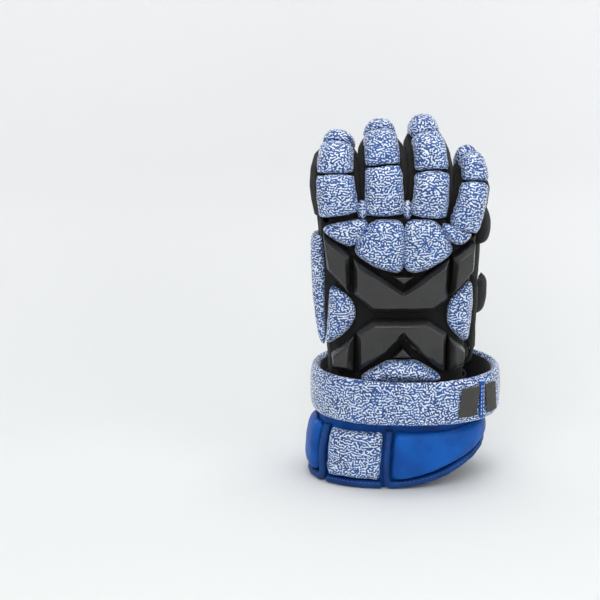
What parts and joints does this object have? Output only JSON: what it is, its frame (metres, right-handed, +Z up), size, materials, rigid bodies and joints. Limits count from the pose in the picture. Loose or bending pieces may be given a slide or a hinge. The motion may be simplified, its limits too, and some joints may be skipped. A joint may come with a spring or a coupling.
{
  "type": "lacrosse glove",
  "caption": "Padded left-hand lacrosse glove standing on its cuff, with hollow finger stalls, a printed padded back, black plates and a wrist strap.",
  "frame": {"origin": "on the floor under the middle of the glove's bounding box", "axes": "+Z up along the hand to the fingertips, -Y out of the back of the hand, +X to the thumb's side"},
  "size_m": [0.1686, 0.122, 0.3098],
  "materials": {
    "black_mesh_fabric": "matte knitted",
    "black_leather": "satin",
    "printed_leather": "satin print",
    "blue_leather": "semi-gloss",
    "blue_binding": "satin",
    "grey_fabric": "matte"
  },
  "bodies": {
    "root": {"palm_shell": "black_mesh_fabric", "little_stall": "black_mesh_fabric", "ring_stall": "black_mesh_fabric", "middle_stall": "black_mesh_fabric", "index_stall": "black_mesh_fabric", "thumb_stall": "black_mesh_fabric", "little_pad_base": "printed_leather", "little_pad_middle": "printed_leather", "little_pad_tip": "printed_leather", "ring_pad_base": "printed_leather", "ring_pad_middle": "printed_leather", "ring_pad_tip": "printed_leather", "middle_pad_base": "printed_leather", "middle_pad_middle": "printed_leather", "middle_pad_tip": "printed_leather", "index_pad_base": "printed_leather", "index_pad_middle": "printed_leather", "index_pad_tip": "printed_leather", "knuckle_pad_little": "printed_leather", "knuckle_pad_ring": "printed_leather", "knuckle_pad_middle": "printed_leather", "knuckle_pad_index": "printed_leather", "upper_plate_left": "black_leather", "upper_plate_centre": "black_leather", "upper_plate_right": "black_leather", "lower_plate_left": "black_leather", "lower_plate_centre": "black_leather", "lower_plate_right": "black_leather", "upper_keystone": "black_leather", "lower_keystone": "black_leather", "side_pad_inner": "printed_leather", "side_pad_outer": "printed_leather", "wrist_pad": "printed_leather", "side_roll": "printed_leather", "thumb_guard_base": "black_mesh_fabric", "thumb_guard_tip": "black_mesh_fabric", "side_strip": "black_mesh_fabric", "cuff_tube": "blue_leather", "cuff_panel_inner": "blue_leather", "cuff_binding_inner": "blue_binding", "cuff_panel_front": "printed_leather", "cuff_binding_front": "blue_binding", "cuff_panel_outer": "blue_leather", "cuff_binding_outer": "blue_binding", "cuff_panel_palm": "blue_leather", "cuff_binding_palm": "blue_binding", "strap": "printed_leather", "strap_lining": "black_mesh_fabric", "strap_seam": "blue_leather", "strap_inlay_front": "grey_fabric", "strap_inlay_rear": "grey_fabric"}
  },
  "joints": []
}
